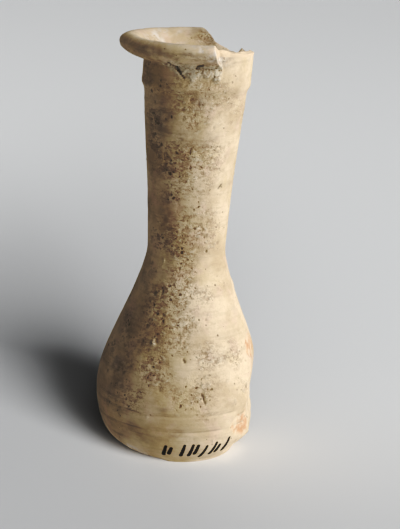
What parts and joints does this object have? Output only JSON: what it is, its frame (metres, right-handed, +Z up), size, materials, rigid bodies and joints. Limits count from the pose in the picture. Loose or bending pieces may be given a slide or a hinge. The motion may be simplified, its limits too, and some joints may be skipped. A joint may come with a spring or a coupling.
{
  "type": "clay unguentarium",
  "caption": "Small footed clay perfume flask with a bulbous body, long flaring neck and thick turned-out lip, part of the rim broken away.",
  "frame": {"origin": "middle of the foot's flat underside", "axes": "+Z up along the vessel; -Y is the front; +X is the side where the rim is broken"},
  "size_m": [0.0457, 0.0474, 0.12],
  "materials": {
    "fired_clay": "matt unglazed buff clay, worn and pitted"
  },
  "bodies": {
    "root": {"unguentarium": "fired_clay"}
  },
  "joints": []
}
